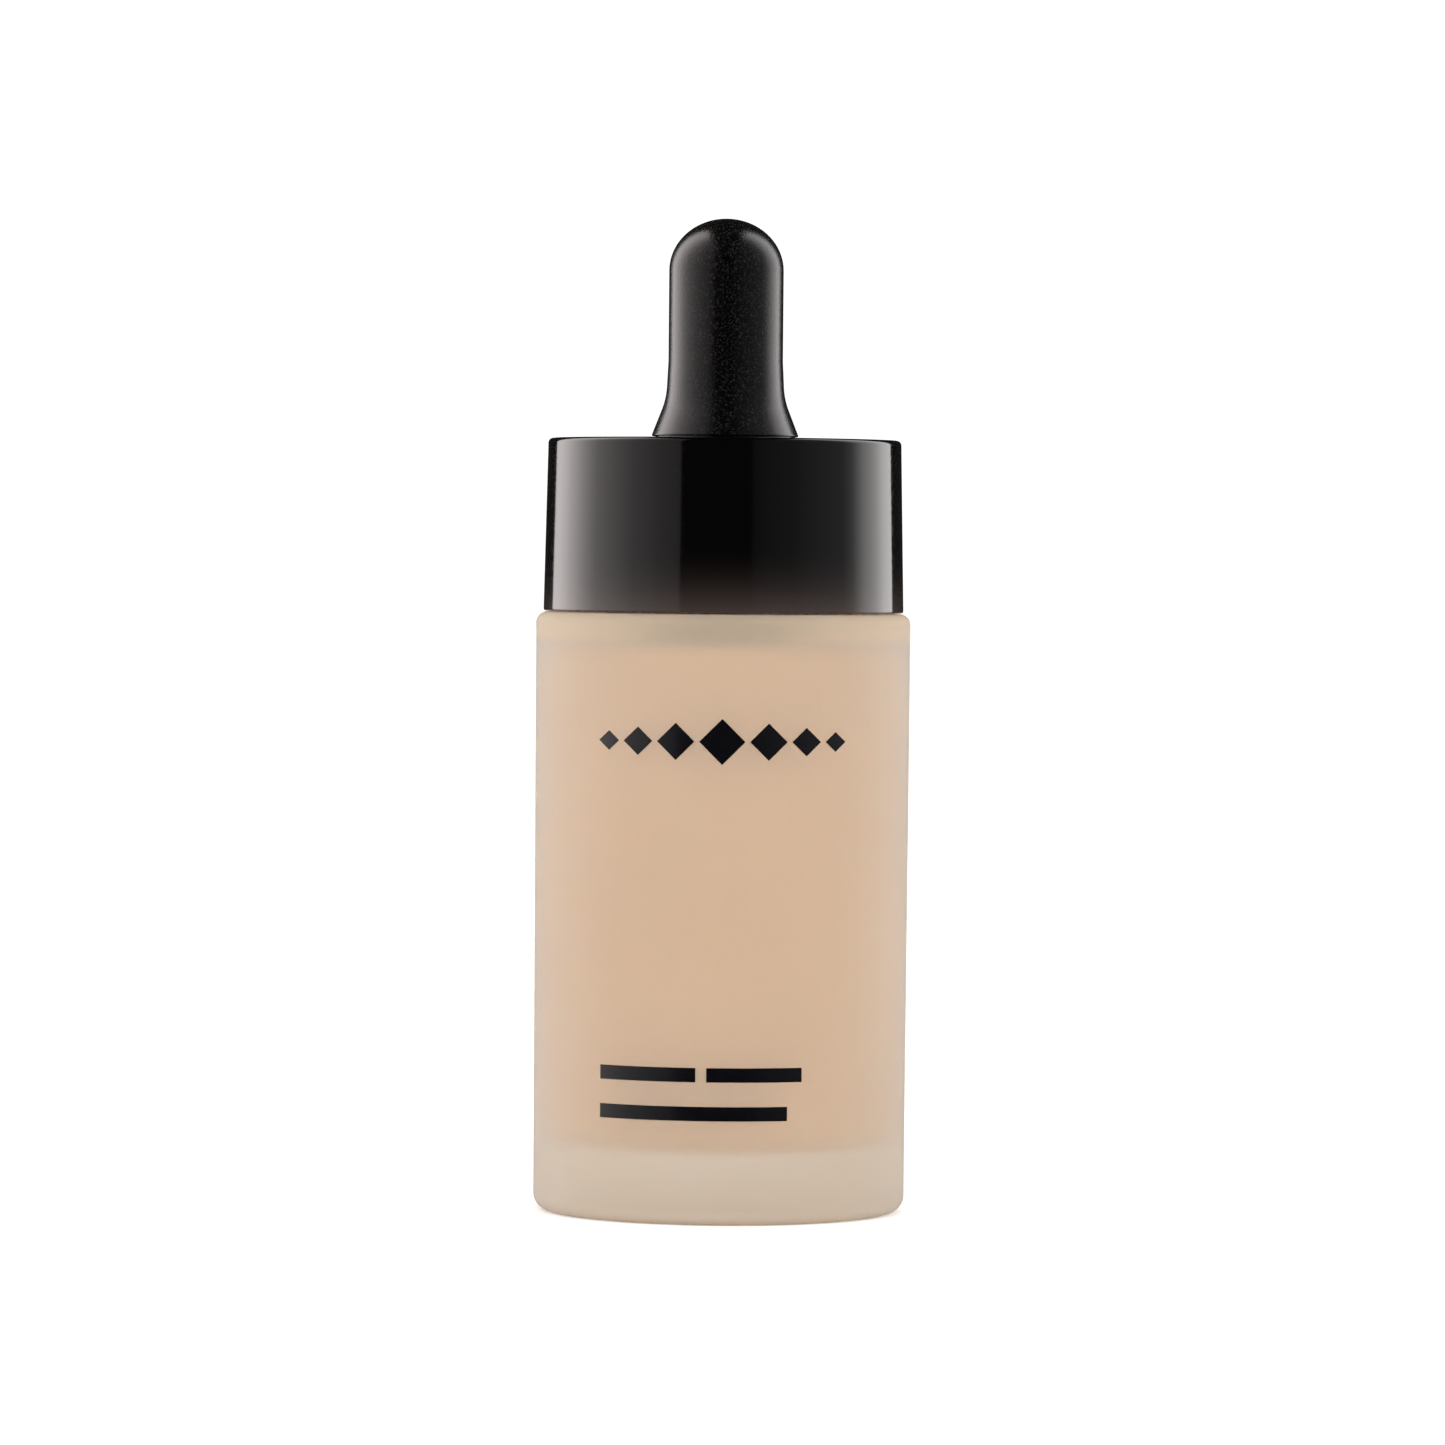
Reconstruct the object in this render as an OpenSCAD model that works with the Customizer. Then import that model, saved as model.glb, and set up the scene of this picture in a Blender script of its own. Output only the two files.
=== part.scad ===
// Make-up bottle with a screw-on bulb dropper.
// Millimetres, +Z up along the axis, origin at the centre of the foot.

/* [Bottle] */
// Outside diameter of the bottle, just under the shoulder
body_d = 35; // [32:0.5:46]
// Height of the flat shoulder above the foot
shoulder_z = 55.9; // [42:0.1:90]
// How much narrower the foot is than the shoulder
body_taper = 0.3; // [0:0.05:1]
// Thickness of the side wall
wall_t = 3; // [2:0.1:3.8]
// Thickness of the glass under the liquid
floor_t = 6.6; // [4:0.1:9]
// Thickness of the shoulder
roof_t = 2.6; // [2:0.1:4]
// Radius of the edge at the foot
foot_round = 1.5; // [1:0.1:2.5]
// Radius of the edge at the shoulder
shoulder_round = 1; // [0.6:0.1:1.4]
// Depth of the recess under the foot
foot_recess = 0.6; // [0.3:0.1:1.2]
// Width of the ring that the bottle stands on
foot_ring_w = 3.6; // [2:0.1:5]

/* [Neck] */
// Height of the rim above the shoulder
neck_h = 12.1; // [11:0.1:16]
// Outside diameter of the neck between its threads
neck_d = 15.8; // [15:0.1:20]
// Bore of the neck
neck_bore = 10.4; // [10:0.1:12]
// How far the threads stand out of the neck
thread_t = 1.05; // [0.8:0.05:1.2]
// Rise of the thread in one turn
pitch = 3.175; // [3:0.025:4]
// Turns of thread on the neck and in the cap
thread_turns = 1.5; // [1:0.25:1.75]
// Width of a thread at its root
thread_root_w = 1.5; // [1.2:0.1:1.6]
// Width of a thread at its crest
thread_crest_w = 0.7; // [0.5:0.1:1]
// Drop from the rim to the top end of the thread
thread_drop = 2.2; // [1.8:0.1:3]

/* [Wiper] */
// Thickness of the wiper's flange on the rim
wiper_flange_t = 0.8; // [0.5:0.1:1.2]
// How far the flange stays in from the outside of the rim
wiper_flange_step = 0.65; // [0.3:0.05:1]
// Depth of the wiper in the neck
wiper_h = 8.8; // [6:0.1:10]
// Wall of the wiper
wiper_t = 0.8; // [0.5:0.1:1]
// Height over which the wiper narrows down to its lip
funnel_h = 2.4; // [1.5:0.1:4]
// Thickness of the lip that wipes the pipette
lip_t = 0.5; // [0.4:0.05:0.8]

/* [Screw cap] */
// Side wall of the cap
cap_wall = 1.5; // [1:0.1:2]
// Top panel of the cap
cap_top_t = 1.2; // [0.8:0.1:2]
// Height of the cap's mouth above the shoulder
cap_mouth_lift = 1; // [0.9:0.1:2]

/* [Collar] */
// How far the collar's foot stands in from the side of the bottle
collar_step = 0.68; // [0.3:0.02:1.2]
// How much narrower the collar is at its top
collar_taper = 0.65; // [0:0.05:1.5]
// Side wall of the collar
collar_wall = 1.8; // [1.2:0.1:2.4]
// Top panel of the collar
collar_top_t = 1.1; // [0.8:0.1:2]
// Radius of the collar's edges
collar_round = 0.4; // [0.2:0.05:0.6]
// Wall of the socket that grips the cap
socket_t = 1; // [0.8:0.1:1.5]
// Number of ribs between the socket and the wall
rib_count = 8; // [4:1:12]
// Thickness of a rib
rib_t = 1; // [0.8:0.1:1.6]
// Height of the socket's mouth above the mouth of the cap
socket_lift = 2; // [1:0.1:5]
// Height of the ribs' feet above the socket's mouth
rib_lift = 1.5; // [1:0.1:4]

/* [Bulb] */
// Diameter of the bulb's barrel
bulb_d = 10.7; // [10:0.1:13]
// Height of the bulb above the collar
bulb_h = 20.6; // [17:0.1:30]
// Height of the domed end
dome_h = 4.85; // [4:0.05:6]
// Rubber wall of the barrel
bulb_wall = 1.35; // [1:0.05:1.6]
// Radius added to the barrel where the skirt meets the collar
skirt_w = 1.55; // [1.2:0.05:2]
// Slope of the skirt from the axis, in degrees
skirt_slope = 20.3; // [18:0.1:22]
// Radius that blends the skirt into the barrel
skirt_blend = 7; // [5:0.5:8]
// Radius that the barrel gains over the last stretch before the blend
barrel_draft = 0.12; // [0.05:0.01:0.2]
// Height of that stretch
barrel_draft_h = 2.4; // [1.5:0.1:3]
// Thickness of the sealing flange under the cap
bulb_flange_t = 1; // [0.8:0.1:1.5]
// How far the flange reaches out under the cap
bulb_flange_w = 1; // [0.8:0.05:1.1]

/* [Pipette] */
// Outside diameter of the glass tube
pipette_d = 7; // [6:0.1:7.2]
// Wall of the glass tube
pipette_wall = 1; // [0.7:0.05:1.3]
// Outside diameter of the drawn tip
tip_d = 3; // [2.4:0.1:3.6]
// Bore of the drawn tip
tip_bore = 1.5; // [1:0.1:1.8]
// Length of the drawn end
tip_h = 9; // [6:0.5:14]
// Height of the tip above the floor of the bottle
tip_lift = 2; // [1:0.1:5]
// How far the bead at the top stands out of the tube
bead_w = 0.8; // [0.5:0.05:0.9]
// Thickness of the bead
bead_t = 1; // [0.8:0.1:1.2]
// Height of the bead above the bulb's flange
bead_lift = 1.2; // [1:0.1:1.5]
// Thickness of the rubber lip that holds the bead down
bead_lip_t = 0.6; // [0.5:0.1:1]
// How far that lip stands back from the bore of the pipette
bead_lip_step = 0.3; // [0.1:0.05:0.5]
// Height of the liquid that stands in the pipette
pipette_fill_h = 31; // [12:1:32]

/* [Print] */
// Thickness of the ink
ink_t = 0.04; // [0.03:0.01:0.1]
// Drop of the emblem's centre below the shoulder
emblem_drop = 11.6; // [8:0.1:14]
// Size of the emblem's middle lozenge, from corner to corner
lozenge_d = 4.2; // [3.6:0.1:5]
// Loss of size from each lozenge to the next one out
lozenge_shrink = 0.8; // [0.2:0.1:1]
// Gap between neighbouring lozenges
lozenge_gap = 0.45; // [0.2:0.05:1]
// Lozenges on each side of the middle one
lozenge_pairs = 3; // [1:1:3]
// Length of the upper line, with its gap
upper_line = 18.4; // [10:0.1:22]
// Gap in the middle of the upper line
upper_gap = 1; // [0.6:0.1:3]
// Length of the lower line
lower_line = 17.1; // [10:0.1:22]
// Distance of the lines' left end from the middle
line_left = 10.9; // [8:0.1:13]
// Thickness of the lines
line_t = 1.3; // [0.6:0.1:2]
// Height of the lower line above the foot
line_z = 10.3; // [7:0.1:14]
// Distance between the two lines
line_step = 3.55; // [2.5:0.05:6]

/* [Clearances] */
// Radial gap between the threads of neck and cap
thread_gap = 0.3; // [0.2:0.05:0.4]
// Gap along the axis between their flanks
flank_gap = 0.1; // [0.1:0.05:0.25]
// Gap between the collar and the shoulder
collar_gap = 0.2; // [0.15:0.05:0.6]
// Radial gap between the cap and its socket
socket_gap = 0.05; // [0.03:0.01:0.1]
// Radial gap between the bulb and the panels it passes through
hub_gap = 0.1; // [0.05:0.01:0.2]
// Radial gap between the pipette and the bulb
grip_gap = 0.05; // [0.03:0.01:0.1]
// Radial gap between the pipette and the wiper's lip
wipe_gap = 0.12; // [0.08:0.01:0.2]
// Radial gap between the wiper and the neck
plug_gap = 0.1; // [0.05:0.01:0.15]
// Gap between the liquid and the glass round it
fill_gap = 0.03; // [0.02:0.01:0.1]
// Gap between the liquid and the outside of the pipette
well_gap = 0.15; // [0.1:0.05:0.3]
// Air between the liquid and the roof of the bottle
air_gap = 0.5; // [0.2:0.1:6]
// Gap between the ink and the glass
ink_gap = 0.01; // [0.01:0.01:0.03]

/* [Hidden] */
$fn = 96;
arc_steps = 8;
// Segments in one turn of thread, and in each end that fades out
thread_steps = 48;
fade_steps = 6;
// Share of a thread's height that its ends sink below the wall
fade_sink = 0.3;
// Depth of a thread's root inside its wall
thread_bury = 0.4;
// Angle at which the thread starts, clear of where the round walls close on themselves
thread_start = 3;
// Overshoot of a cut past the face it opens
cut = 1;
// Radii inside the bottle, at its neck and at its rim
floor_round = 3;
roof_round = 2;
neck_fillet = 0.8;
rim_round = 0.4;

body_r = body_d / 2;
foot_r = body_r - body_taper / 2;
cavity_r = body_r - wall_t;
cavity_top = shoulder_z - roof_t;
rim_z = shoulder_z + neck_h;
neck_r = neck_d / 2;
bore_r = neck_bore / 2;
fill_z = cavity_top - air_gap;

crest_r = neck_r + thread_t;
thread_z = rim_z - thread_drop - thread_turns * pitch;
thread_offset = (thread_root_w + thread_crest_w) / 2 + flank_gap;
cap_bore_r = crest_r + thread_gap;
cap_r = cap_bore_r + cap_wall;
wiper_top = rim_z + wiper_flange_t;
flange_top = wiper_top + bulb_flange_t;
cap_top = flange_top + cap_top_t;
cap_mouth = shoulder_z + cap_mouth_lift;
collar_top = cap_top + collar_top_t;
collar_bottom = shoulder_z + collar_gap;
collar_foot_r = body_r - collar_step;
collar_top_r = collar_foot_r - collar_taper / 2;
socket_r = cap_r + socket_gap;
socket_bottom = cap_mouth + socket_lift;
rib_bottom = socket_bottom + rib_lift;

bulb_r = bulb_d / 2;
hub_r = bulb_r + skirt_w;
hub_hole_r = hub_r + hub_gap;
bulb_top = collar_top + bulb_h;
dome_z = bulb_top - dome_h;
blend_r = bulb_r + barrel_draft;
blend_slope = atan(barrel_draft / barrel_draft_h);
pipette_r = pipette_d / 2;
pipette_bore_r = pipette_r - pipette_wall;
bead_r = pipette_r + bead_w;
bead_z = flange_top + bead_lift;
bead_top = bead_z + bead_t;
tip_z = floor_t + tip_lift;

// Points on an arc about [r, z], from angle a0 to angle a1
function arc(r, z, radius, a0, a1) = [
    for (i = [0:arc_steps])
        let (a = a0 + (a1 - a0) * i / arc_steps)
        [r + radius * cos(a), z + radius * sin(a)]
];

// Quarter of an ellipse, from its side up to the axis
function dome(radius, height, z) = [
    for (i = [0:2 * arc_steps])
        let (a = 90 * i / (2 * arc_steps))
        [radius * cos(a), z + height * sin(a)]
];

// Outside radius of the bottle at a height on its tapered side
function side_r(z) =
    foot_r + (body_r - foot_r) * (z - foot_round) / (shoulder_z - shoulder_round - foot_round);

function at(radius, angle, z) = [radius * cos(angle), radius * sin(angle), z];

module revolve(outline) {
    rotate_extrude() polygon(outline);
}

// Helical ridge, rooted in the wall, that fades out at both ends.
// It stands outwards when tip_r is over root_r, and inwards otherwise.
module thread_ridge(root_r, tip_r, z0, a0) {
    n = round(thread_turns * thread_steps);
    side = sign(tip_r - root_r);
    points = [
        for (i = [0:n])
            let (a = a0 + 360 * i / thread_steps)
            let (z = z0 + pitch * a / 360)
            let (fade = min(1, i / fade_steps, (n - i) / fade_steps))
            let (r = root_r + (tip_r - root_r) * (fade - fade_sink * (1 - fade)))
            each [
                at(root_r - side * thread_bury, a, z - side * thread_root_w / 2),
                at(r, a, z - side * thread_crest_w / 2),
                at(r, a, z + side * thread_crest_w / 2),
                at(root_r - side * thread_bury, a, z + side * thread_root_w / 2)
            ]
    ];
    sides = [
        for (i = [0:n - 1], j = [0:3])
            let (k = (j + 1) % 4)
            each [
                [4 * i + j, 4 * i + k, 4 * i + 4 + k],
                [4 * i + j, 4 * i + 4 + k, 4 * i + 4 + j]
            ]
    ];
    ends = [[3, 2, 1, 0], [4 * n, 4 * n + 1, 4 * n + 2, 4 * n + 3]];
    polyhedron(points, concat(sides, ends));
}

function glass_outline() = concat(
    [[0, foot_recess], [foot_r - foot_ring_w - foot_recess - foot_round, foot_recess]],
    [[foot_r - foot_ring_w - foot_round, 0]],
    arc(foot_r - foot_round, foot_round, foot_round, -90, 0),
    arc(body_r - shoulder_round, shoulder_z - shoulder_round, shoulder_round, 0, 90),
    arc(neck_r + neck_fillet, shoulder_z + neck_fillet, neck_fillet, 270, 180),
    arc(neck_r - rim_round, rim_z - rim_round, rim_round, 0, 90),
    [[0, rim_z]]
);

// Inside of the bottle, drawn in by a gap on all its walls, up to a height
function cavity_outline(gap, top) = concat(
    [[0, floor_t + gap]],
    arc(cavity_r - floor_round, floor_t + floor_round, floor_round - gap, -90, 0),
    top > cavity_top
        ? concat(
            arc(cavity_r - roof_round, cavity_top - roof_round, roof_round - gap, 0, 90),
            arc(bore_r + roof_round, cavity_top + roof_round, roof_round + gap, 270, 180),
            [[bore_r - gap, top]])
        : arc(cavity_r - roof_round, min(top, cavity_top - gap) - roof_round + gap,
            roof_round - gap, 0, 90),
    [[0, top]]
);

module bottle_glass() {
    color("#e2cdb2")
    difference() {
        union() {
            revolve(glass_outline());
            thread_ridge(neck_r, crest_r, thread_z, thread_start);
        }
        revolve(cavity_outline(0, rim_z + cut));
    }
}

module foundation_fill() {
    color("#cf9f78")
    difference() {
        revolve(cavity_outline(fill_gap, fill_z));
        translate([0, 0, tip_z - well_gap])
            cylinder(h = fill_z, r = pipette_r + well_gap);
    }
}

// Flanged plug with a lip, which narrows down onto the pipette
module neck_wiper() {
    plug_r = bore_r - plug_gap;
    lip_r = pipette_r + wipe_gap;
    flange_r = neck_r - wiper_flange_step;
    lip_z = rim_z - wiper_h;
    funnel_z = lip_z + funnel_h;
    color("#f2f0ea")
    revolve([
        [lip_r, lip_z], [lip_r + lip_t, lip_z],
        [plug_r, funnel_z], [plug_r, rim_z],
        [flange_r, rim_z], [flange_r, wiper_top],
        [plug_r - wiper_t, wiper_top], [plug_r - wiper_t, funnel_z]
    ]);
}

module screw_cap() {
    color("#23211f")
    union() {
        revolve([
            [cap_bore_r, cap_mouth], [cap_r, cap_mouth], [cap_r, cap_top],
            [hub_hole_r, cap_top], [hub_hole_r, flange_top], [cap_bore_r, flange_top]
        ]);
        thread_ridge(cap_bore_r, neck_r + thread_gap, thread_z - thread_offset, thread_start - 180);
    }
}

// Open-bottomed shell with a socket for the cap, held by ribs
module collar_shell() {
    color("#0d0c0e")
    union() {
        revolve(concat(
            [[collar_foot_r - collar_wall, collar_bottom]],
            arc(collar_foot_r - collar_round, collar_bottom + collar_round, collar_round, -90, 0),
            arc(collar_top_r - collar_round, collar_top - collar_round, collar_round, 0, 90),
            [[hub_hole_r, collar_top], [hub_hole_r, cap_top], [collar_top_r - collar_wall, cap_top]]
        ));
        revolve([
            [socket_r, socket_bottom], [socket_r + socket_t, socket_bottom],
            [socket_r + socket_t, cap_top + collar_top_t / 2], [socket_r, cap_top + collar_top_t / 2]
        ]);
        for (i = [0:rib_count - 1])
            rotate(360 * i / rib_count)
            translate([socket_r + socket_t / 2, -rib_t / 2, rib_bottom])
            cube([
                collar_top_r - collar_wall / 2 - socket_r - socket_t / 2,
                rib_t,
                cap_top + collar_top_t / 2 - rib_bottom
            ]);
    }
}

// Rubber bulb: a flange under the cap, a skirt, a barrel and a domed end
module dropper_bulb() {
    cone_r = blend_r + skirt_blend * (cos(blend_slope) - cos(skirt_slope));
    cone_z = collar_top + (hub_r - cone_r) / tan(skirt_slope);
    blend_z = cone_z + skirt_blend * sin(skirt_slope);
    lip_r = pipette_bore_r + bead_lip_step;
    cavity_r = bulb_r - bulb_wall;
    cavity_z = bead_top + bead_lip_t;
    color("#1b1a1c")
    difference() {
        revolve(concat(
            [[0, wiper_top], [hub_r + bulb_flange_w, wiper_top], [hub_r + bulb_flange_w, flange_top]],
            [[hub_r, flange_top], [hub_r, collar_top]],
            arc(blend_r + skirt_blend * cos(blend_slope), blend_z, skirt_blend,
                180 + skirt_slope, 180 + blend_slope),
            [[bulb_r, blend_z + barrel_draft_h]],
            dome(bulb_r, dome_h, dome_z)
        ));
        revolve(concat(
            [[0, cavity_z], [lip_r, cavity_z], [cavity_r, cavity_z + cavity_r - lip_r]],
            dome(cavity_r, dome_h - bulb_wall, dome_z)
        ));
        translate([0, 0, wiper_top - cut])
            cylinder(h = bead_z - wiper_top + 2 * cut, r = pipette_r + grip_gap);
        translate([0, 0, bead_z])
            cylinder(h = bead_t, r = bead_r + grip_gap);
        cylinder(h = cavity_z + cut, r = lip_r);
    }
}

module pipette_tube() {
    color("#dfe9ea")
    difference() {
        revolve([
            [0, tip_z], [tip_d / 2, tip_z], [pipette_r, tip_z + tip_h], [pipette_r, bead_z],
            [bead_r, bead_z], [bead_r, bead_top], [0, bead_top]
        ]);
        revolve(pipette_bore(0, bead_top + cut));
    }
}

// Inside of the pipette, drawn in by a gap, up to a height
function pipette_bore(gap, top) = [
    [0, tip_z - (gap > 0 ? 0 : cut)], [tip_bore / 2 - gap, tip_z - (gap > 0 ? 0 : cut)],
    [tip_bore / 2 - gap, tip_z], [pipette_bore_r - gap, tip_z + tip_h], [pipette_bore_r - gap, top],
    [0, top]
];

module pipette_fill() {
    color("#cf9f78")
    revolve(pipette_bore(fill_gap, tip_z + pipette_fill_h));
}

// Thin skin of ink on the front of the bottle, in the shape of its children
module printed(z0, z1) {
    intersection() {
        difference() {
            translate([0, 0, z0])
                cylinder(h = z1 - z0, r1 = side_r(z0) + ink_gap + ink_t, r2 = side_r(z1) + ink_gap + ink_t);
            translate([0, 0, z0])
                cylinder(h = z1 - z0, r1 = side_r(z0) + ink_gap, r2 = side_r(z1) + ink_gap);
        }
        rotate([90, 0, 0]) linear_extrude(body_d) children();
    }
}

// Row of lozenges that get smaller towards both ends
module front_emblem() {
    z = shoulder_z - emblem_drop;
    color("#16171f")
    printed(z - lozenge_d, z + lozenge_d)
        for (i = [-lozenge_pairs:lozenge_pairs])
            let (x = abs(i) * (lozenge_d + lozenge_gap) - lozenge_shrink * i * i / 2)
            translate([sign(i) * x, z])
            rotate(45) square((lozenge_d - abs(i) * lozenge_shrink) / sqrt(2), center = true);
}

// Two plain lines that start at the same place on the left, the upper one in two halves
module front_lines() {
    half = (upper_line - upper_gap) / 2;
    color("#16171f")
    printed(line_z - line_step, line_z + 2 * line_step)
        translate([-line_left, line_z - line_t / 2]) {
            square([lower_line, line_t]);
            for (x = [0, half + upper_gap])
                translate([x, line_step]) square([half, line_t]);
        }
}

bottle_glass();
foundation_fill();
neck_wiper();
screw_cap();
collar_shell();
dropper_bulb();
pipette_tube();
pipette_fill();
front_emblem();
front_lines();
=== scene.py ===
import math

import bpy
from mathutils import Matrix, Vector


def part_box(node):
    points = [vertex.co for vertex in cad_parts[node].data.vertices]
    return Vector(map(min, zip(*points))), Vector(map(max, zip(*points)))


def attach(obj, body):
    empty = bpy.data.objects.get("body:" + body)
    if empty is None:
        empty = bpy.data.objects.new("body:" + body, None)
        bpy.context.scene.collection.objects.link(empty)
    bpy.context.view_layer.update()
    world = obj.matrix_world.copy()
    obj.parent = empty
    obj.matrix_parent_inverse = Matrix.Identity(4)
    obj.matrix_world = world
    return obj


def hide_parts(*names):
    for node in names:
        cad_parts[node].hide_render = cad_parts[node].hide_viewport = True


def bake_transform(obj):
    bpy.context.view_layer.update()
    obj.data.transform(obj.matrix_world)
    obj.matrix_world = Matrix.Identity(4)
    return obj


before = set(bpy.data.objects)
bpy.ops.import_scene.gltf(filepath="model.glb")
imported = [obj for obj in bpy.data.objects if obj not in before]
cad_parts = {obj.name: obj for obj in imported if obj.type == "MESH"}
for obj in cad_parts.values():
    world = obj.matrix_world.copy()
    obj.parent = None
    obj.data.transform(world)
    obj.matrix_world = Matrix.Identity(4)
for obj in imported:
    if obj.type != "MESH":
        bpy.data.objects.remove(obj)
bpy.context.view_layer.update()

MM = 0.001

# ------------------------------------------------------------------ places and sizes
_, glass_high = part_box("bottle_glass")
fill_low, fill_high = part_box("foundation_fill")
wiper_low, wiper_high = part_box("neck_wiper")
cap_low, cap_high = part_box("screw_cap")
collar_low, collar_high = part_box("collar_shell")
bulb_low, bulb_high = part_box("dropper_bulb")
pipette_low, pipette_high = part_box("pipette_tube")
_, drawn_up_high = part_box("pipette_fill")
emblem_low, emblem_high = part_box("front_emblem")
lines_low, lines_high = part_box("front_lines")

# Bottle
BODY_R = glass_high.x
RIM_Z = glass_high.z
SHOULDER_Z = collar_low.z - 0.2 * MM
FOOT_R = BODY_R - 0.15 * MM
FOOT_ROUND = 1.5 * MM
FOOT_RING_W = 3.6 * MM
FOOT_RECESS = 0.6 * MM
SHOULDER_ROUND = 1.0 * MM
CAVITY_R = BODY_R - 3.0 * MM
FLOOR_Z = fill_low.z - 0.3 * MM
FLOOR_ROUND = 1.8 * MM
ROOF_Z = SHOULDER_Z - 2.6 * MM
ROOF_ROUND = 1.2 * MM
NECK_R = 7.9 * MM
NECK_BORE_R = 5.2 * MM
NECK_FILLET = 0.8 * MM
RIM_ROUND = 0.5 * MM
THREAD_T = 1.05 * MM
THREAD_PITCH = 3.175 * MM
THREAD_TURNS = 1.5
THREAD_START = math.radians(3)
THREAD_TO_RIM = 2.2 * MM
THREAD_Z = RIM_Z - THREAD_TO_RIM - THREAD_TURNS * THREAD_PITCH
THREAD_CREST_W = 0.7 * MM
THREAD_ROOT_W = 1.5 * MM
THREAD_FADE = 0.125
THREAD_ROW = 0.16 * MM

# Collar
COLLAR_TOP = collar_high.z
COLLAR_BOTTOM = collar_low.z - 0.12 * MM
COLLAR_FOOT_R = collar_high.x
COLLAR_TOP_R = COLLAR_FOOT_R - 0.325 * MM
COLLAR_WALL = 1.8 * MM
COLLAR_FOOT_ROUND = 0.2 * MM
COLLAR_TOP_ROUND = 0.45 * MM
COLLAR_HOLE_R = 6.6 * MM
CAP_R = cap_high.x
CAP_TOP = cap_high.z
SNUG = 0.05 * MM
SOCKET_T = 1.0 * MM
SOCKET_Z = cap_low.z + 2.0 * MM
RIB_COUNT = 8
RIB_T = 1.0 * MM

# Bulb
BULB_TOP = bulb_high.z
BULB_R = 5.35 * MM
BULB_WALL = 1.35 * MM
DOME_H = 4.85 * MM
FLANGE_R = bulb_high.x
FLANGE_Z = bulb_low.z
FLANGE_T = 1.0 * MM
HUB_R = 6.5 * MM
SKIRT_R = 6.85 * MM
SKIRT_Z = COLLAR_TOP + 0.25 * MM
SKIRT_SLOPE = 20.3
SKIRT_BLEND = 7.0 * MM
BARREL_DRAFT = 0.12 * MM
BARREL_DRAFT_H = 2.4 * MM
DOME_STEPS = 24

# Pipette
PIPETTE_R = 3.5 * MM
PIPETTE_BORE_R = 2.5 * MM
TIP_R = 1.5 * MM
TIP_BORE_R = 0.75 * MM
TIP_H = 9.0 * MM
TIP_END_H = 1.5 * MM
TIP_TAPER = 0.1 * MM
DRAW_R = 8 * MM
DRAW_TURN = 13
BEAD_R = pipette_high.x
BEAD_T = 1.0 * MM
WELL_R = PIPETTE_R + 0.15 * MM

# Print
INK_T = 0.04 * MM
INK_GAP = 0.01 * MM
LOZENGE_PAIRS = 3
LOZENGE_SHRINK = 0.8 * MM
LOZENGE_GAP = 0.45 * MM
BAR_T = 1.3 * MM
BAR_GAP = 1.0 * MM
LOWER_BAR_SHORTER = 1.3 * MM
PATCH_STEP = 0.4 * MM

# Mesh fineness
TURN_STEPS = 160
WIDE_TURN_STEPS = 192
ARC_STEPS = 8
MERGE = 0.0005 * MM

# Studio
WALL_LOW, WALL_HIGH = -0.6, 1.2
WALL_DIM_Z, WALL_FULL_Z = -0.1, 0.02
WALL_DIM = 0.3
SOFTBOX_SIZE = 0.7
SOFTBOX_AIM = (0, 0, 0.04)


# ------------------------------------------------------------------ making shapes
def arc(r, z, radius, start, end, steps=ARC_STEPS):
    """Points on an arc about (r, z), from one angle to another in degrees."""
    turns = [math.radians(start + (end - start) * i / steps) for i in range(steps + 1)]
    return [(r + radius * math.cos(a), z + radius * math.sin(a)) for a in turns]


def dome(radius, height, z, steps=2 * ARC_STEPS):
    """A quarter of an ellipse, from its side up to the axis."""
    turns = [math.pi / 2 * i / steps for i in range(steps + 1)]
    side = [(radius * math.cos(a), z + height * math.sin(a)) for a in turns[:-1]]
    return side + [(0, z + height)]


def rise(r0, z0, r1, z1, step):
    """Evenly spaced points from one place towards another, with both ends."""
    count = max(1, round(math.hypot(r1 - r0, z1 - z0) / step))
    return [(r0 + (r1 - r0) * i / count, z0 + (z1 - z0) * i / count) for i in range(count + 1)]


def without_repeats(outline):
    """The outline with points that fall on the one before taken out."""
    kept = [outline[0]]
    for point in outline[1:]:
        if math.dist(point, kept[-1]) > 2 * MERGE:
            kept.append(point)
    return kept


def turned(name, outline, steps=TURN_STEPS, sharp=35):
    """A piece turned about the axis: its outline is drawn point by point, then spun."""
    outline = without_repeats(outline)
    bpy.ops.object.select_all(action="DESELECT")
    bpy.ops.mesh.primitive_plane_add(size=MM)
    piece = bpy.context.object
    piece.name = name
    piece.data.name = name
    bpy.ops.object.mode_set(mode="EDIT")
    bpy.ops.mesh.merge(type="CENTER")
    bpy.ops.transform.translate(value=(outline[0][0], 0, outline[0][1]))
    for (r0, z0), (r1, z1) in zip(outline, outline[1:]):
        step = (r1 - r0, 0, z1 - z0)
        bpy.ops.mesh.extrude_vertices_move(TRANSFORM_OT_translate={"value": step})
    bpy.ops.mesh.select_all(action="SELECT")
    bpy.ops.mesh.spin(steps=steps, angle=math.tau, center=(0, 0, 0), axis=(0, 0, 1))
    bpy.ops.mesh.select_all(action="SELECT")
    bpy.ops.mesh.remove_doubles(threshold=MERGE)
    bpy.ops.mesh.normals_make_consistent(inside=False)
    bpy.ops.object.mode_set(mode="OBJECT")
    smooth(piece, sharp)
    return piece


def only(piece):
    """Leaves one piece selected and active."""
    bpy.ops.object.select_all(action="DESELECT")
    piece.select_set(True)
    bpy.context.view_layer.objects.active = piece


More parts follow.
